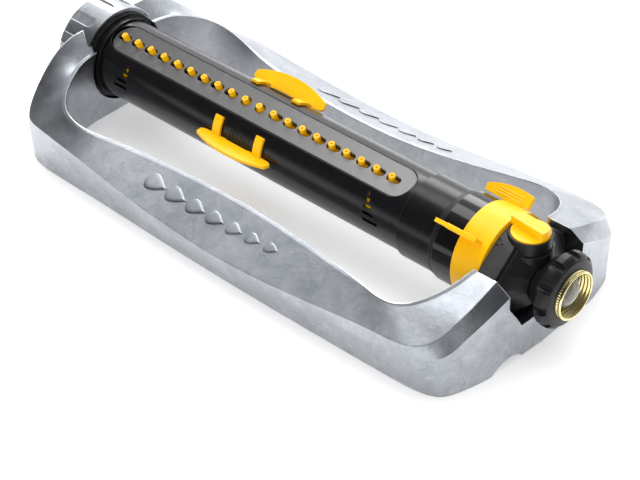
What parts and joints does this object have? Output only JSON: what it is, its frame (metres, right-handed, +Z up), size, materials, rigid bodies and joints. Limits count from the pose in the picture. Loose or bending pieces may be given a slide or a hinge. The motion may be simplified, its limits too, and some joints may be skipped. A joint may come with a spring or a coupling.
{
  "type": "oscillating lawn sprinkler",
  "caption": "Oscillating lawn sprinkler with a cast frame, swinging nozzle tube, width sliders, range rings, flow knob and swivel hose inlet.",
  "frame": {"origin": "centre of the footprint, on the floor under the frame", "axes": "+X along the spray tube towards the hose inlet, +Y to the far rail, +Z up"},
  "size_m": [0.388, 0.1774, 0.076],
  "materials": {
    "cast_metal": "tumbled die-cast metal",
    "black_plastic": "smooth satin black",
    "gloss_black_plastic": "glossy black",
    "matte_black_plastic": "fine matte black",
    "textured_plastic": "coarse spark-eroded grain",
    "grey_plastic": "matte dark grey",
    "yellow_plastic": "satin warm yellow",
    "yellow_rubber": "soft moulded elastomer",
    "white_plastic": "natural acetal",
    "black_rubber": "moulded rubber",
    "brass": "turned bright brass",
    "steel": "stainless"
  },
  "bodies": {
    "base": {"base_frame": "cast_metal", "far_bearing": "black_plastic", "end_thrust_washer": "white_plastic", "motor_case": "white_plastic", "inlet_gear_plate": "white_plastic", "tube_gear_plate": "white_plastic", "stator_plate": "white_plastic", "idler_pin": "steel", "main_seal": "black_rubber", "toggle_spring": "steel", "seal_band": "matte_black_plastic", "collar": "gloss_black_plastic", "inlet_cover": "textured_plastic", "inlet_body": "matte_black_plastic", "knob_cup": "matte_black_plastic", "inlet_screws": "steel"},
    "tube": {"tube_shell": "black_plastic", "top_plate": "grey_plastic", "nozzle_strip": "yellow_rubber", "water_tube": "black_plastic", "water_tube_plug": "black_plastic", "water_tube_plug_ring": "black_rubber", "manifold_flange": "black_plastic", "drive_housing": "black_plastic", "ring_gear": "white_plastic", "end_cap": "black_plastic"},
    "width_control": {"width_sleeve": "black_plastic", "front_width_slider": "yellow_plastic", "rear_width_slider": "yellow_plastic", "width_indicator": "yellow_plastic"},
    "far_comb": {"far_nozzle_comb": "black_plastic"},
    "near_comb": {"near_nozzle_comb": "black_plastic"},
    "turbine": {"turbine_shaft": "steel", "turbine_wheel": "white_plastic"},
    "idler": {"idler_gear": "white_plastic"},
    "output": {"output_gear": "white_plastic", "output_pinion": "steel"},
    "rocker": {"reversing_rocker": "white_plastic"},
    "rear_range": {"rear_range_ring": "yellow_plastic"},
    "front_range": {"front_range_ring": "yellow_plastic"},
    "knob": {"flow_knob": "yellow_plastic", "valve_plug": "white_plastic", "valve_oring": "black_rubber"},
    "hose_coupling": {"hose_nut": "matte_black_plastic", "brass_insert": "brass", "hose_washer": "black_rubber", "inlet_filter": "steel"}
  },
  "joints": [
    {"name": "tube_swing", "type": "hinge", "parent": "base", "child": "tube", "pos_m": [0, 0, 0.0432], "axis": [1, 0, 0], "range_deg": [-63.7, 26.3]},
    {"name": "width_adjust", "type": "hinge", "parent": "tube", "child": "width_control", "pos_m": [0, 0, 0.0432], "axis": [1, 0, 0], "range_deg": [-7, 7]},
    {"name": "far_comb_slide", "type": "slide", "parent": "tube", "child": "far_comb", "axis": [1, 0, 0], "range_m": [-0.0012, 0.0012]},
    {"name": "near_comb_slide", "type": "slide", "parent": "tube", "child": "near_comb", "axis": [1, 0, 0], "range_m": [-0.0012, 0.0012]},
    {"name": "turbine_spin", "type": "hinge", "parent": "base", "child": "turbine", "pos_m": [0.11, 0, 0.0432], "axis": [1, 0, 0], "range_deg": [-1820, 752]},
    {"name": "idler_spin", "type": "hinge", "parent": "base", "child": "idler", "pos_m": [0.1, 0, 0.0532], "axis": [1, 0, 0], "range_deg": [-252, 608]},
    {"name": "output_spin", "type": "hinge", "parent": "base", "child": "output", "pos_m": [0.1, -0.00888, 0.04861], "axis": [1, 0, 0], "range_deg": [-203, 84]},
    {"name": "rocker_flip", "type": "hinge", "parent": "base", "child": "rocker", "pos_m": [0.138, 0, 0.0432], "axis": [1, 0, 0], "range_deg": [-12, 12]},
    {"name": "rear_range_set", "type": "hinge", "parent": "base", "child": "rear_range", "pos_m": [0.133, 0, 0.0432], "axis": [1, 0, 0], "range_deg": [-26, 24]},
    {"name": "front_range_set", "type": "hinge", "parent": "base", "child": "front_range", "pos_m": [0.143, 0, 0.0432], "axis": [1, 0, 0], "range_deg": [-24, 26]},
    {"name": "flow_knob_turn", "type": "hinge", "parent": "base", "child": "knob", "pos_m": [0.1606, 0, 0.065], "axis": [0, 0, 1], "range_deg": [0, 90]},
    {"name": "hose_nut_spin", "type": "hinge", "parent": "base", "child": "hose_coupling", "pos_m": [0.185, 0, 0.0432], "axis": [1, 0, 0], "continuous": true}
  ],
  "couplings": [
    {"joint": "far_comb_slide", "follows": "width_adjust", "m_per_rad": -0.009822},
    {"joint": "near_comb_slide", "follows": "width_adjust", "m_per_rad": 0.009822},
    {"joint": "output_spin", "follows": "tube_swing", "ratio": 3.1667},
    {"joint": "idler_spin", "follows": "tube_swing", "ratio": -9.5},
    {"joint": "turbine_spin", "follows": "tube_swing", "ratio": 28.5}
  ]
}
